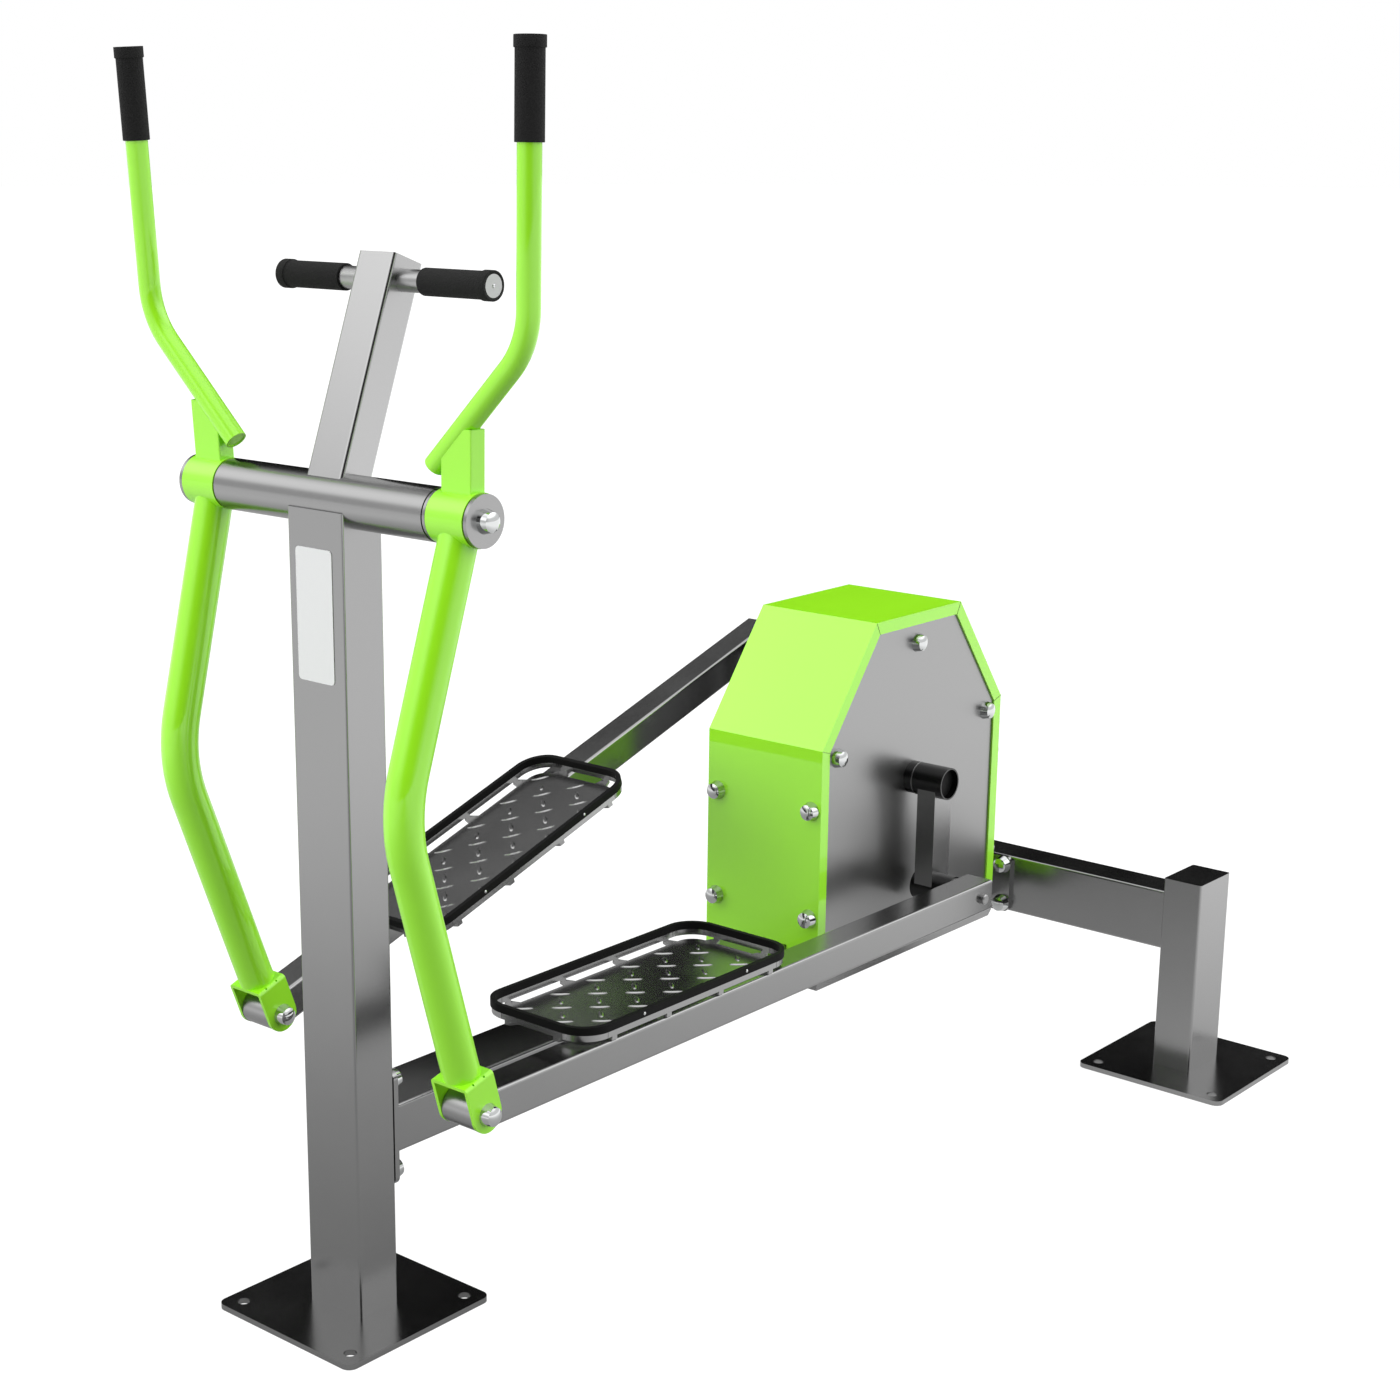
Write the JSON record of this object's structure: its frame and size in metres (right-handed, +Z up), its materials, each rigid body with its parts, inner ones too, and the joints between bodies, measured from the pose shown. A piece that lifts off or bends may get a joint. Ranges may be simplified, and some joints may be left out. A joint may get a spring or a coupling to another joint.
{
  "type": "outdoor cross trainer",
  "caption": "Outdoor elliptical trainer: a steel frame with swinging hand levers, foot trays on pedal arms and a crank in a faceted housing.",
  "frame": {"origin": "centre of the front base plate on the ground", "axes": "+X from the front post to the crank and the rear legs, +Y to the right of a user who faces the post, +Z up"},
  "size_m": [1.815, 1.134, 1.6722],
  "materials": {
    "frame_grey": "satin metallic grey powder coat",
    "lime_green": "gloss lime green powder coat",
    "panel_grey": "satin metallic grey sheet",
    "tray_grey": "satin dark grey chequer plate",
    "crank_black": "semi-gloss black plug",
    "chrome": "polished domed nuts",
    "satin_steel": "turned steel",
    "bush_bronze": "plain sintered bush",
    "cast_wheel": "raw casting",
    "foam": "matte closed-cell foam",
    "edge_rubber": "matte black edge trim",
    "end_cap": "moulded end plug"
  },
  "bodies": {
    "frame": {"front_base_plate": "frame_grey", "rear_base_plates": "frame_grey", "front_post": "frame_grey", "cross_tube": "frame_grey", "pivot_plugs": "satin_steel", "pivot_shaft": "satin_steel", "pivot_spacers": "frame_grey", "pivot_end_discs": "frame_grey", "pivot_caps": "chrome", "upper_post": "frame_grey", "fixed_bar": "satin_steel", "fixed_bar_grips": "foam", "fixed_bar_end_caps": "end_cap", "front_flange": "frame_grey", "front_flange_nuts": "chrome", "main_beam": "frame_grey", "rear_flange": "frame_grey", "rear_flange_bolts": "chrome", "rear_beam": "frame_grey", "rear_posts": "frame_grey", "housing_shell": "lime_green", "housing_panels": "panel_grey", "housing_rails": "frame_grey", "housing_bolts": "chrome", "axle_sleeves": "frame_grey", "bearing_supports": "frame_grey", "axle_bearings": "satin_steel"},
    "crank": {"crank_axle": "satin_steel", "flywheel": "cast_wheel", "crank_hubs": "frame_grey", "crank_plugs": "crank_black", "crank_arms": "frame_grey", "crank_pin_bosses": "frame_grey", "crank_rings": "satin_steel"},
    "lever_left": {"lever_left_hub": "lime_green", "lever_left_bush": "bush_bronze", "lever_left_tube": "lime_green", "lever_left_riser": "lime_green", "lever_left_handle": "lime_green", "lever_left_grip": "foam", "lever_left_fork": "lime_green", "lever_left_fork_bolt": "chrome"},
    "lever_right": {"lever_right_hub": "lime_green", "lever_right_bush": "bush_bronze", "lever_right_tube": "lime_green", "lever_right_riser": "lime_green", "lever_right_handle": "lime_green", "lever_right_grip": "foam", "lever_right_fork": "lime_green", "lever_right_fork_bolt": "chrome"},
    "arm_left": {"arm_left_bush": "satin_steel", "arm_left_tube": "frame_grey", "arm_left_crank_pin": "satin_steel", "arm_left_tray": "tray_grey", "arm_left_trim": "edge_rubber"},
    "arm_right": {"arm_right_bush": "satin_steel", "arm_right_tube": "frame_grey", "arm_right_crank_pin": "satin_steel", "arm_right_tray": "tray_grey", "arm_right_trim": "edge_rubber"}
  },
  "joints": [
    {"name": "lever_left_swing", "type": "hinge", "parent": "frame", "child": "lever_left", "pos_m": [0, -0.228, 1.117], "axis": [0, -1, 0], "range_deg": [-8, 8]},
    {"name": "lever_right_swing", "type": "hinge", "parent": "frame", "child": "lever_right", "pos_m": [0, 0.228, 1.117], "axis": [0, -1, 0], "range_deg": [-8, 8]},
    {"name": "arm_left_tilt", "type": "hinge", "parent": "lever_left", "child": "arm_left", "pos_m": [0, -0.228, 0.3555], "axis": [0, -1, 0], "range_deg": [-8, 8]},
    {"name": "arm_right_tilt", "type": "hinge", "parent": "lever_right", "child": "arm_right", "pos_m": [0.05644, 0.228, 0.35759], "axis": [0, -1, 0], "range_deg": [-8, 8]},
    {"name": "crank_turn", "type": "hinge", "parent": "frame", "child": "crank", "pos_m": [1.163, 0, 0.5355], "axis": [0, -1, 0], "range_deg": [-35.2, 35.2]}
  ],
  "couplings": [
    {"joint": "lever_right_swing", "follows": "lever_left_swing", "ratio": -1},
    {"joint": "arm_left_tilt", "follows": "lever_left_swing", "ratio": -1},
    {"joint": "arm_right_tilt", "follows": "lever_left_swing", "ratio": 1},
    {"joint": "crank_turn", "follows": "lever_left_swing", "ratio": 4.4}
  ]
}
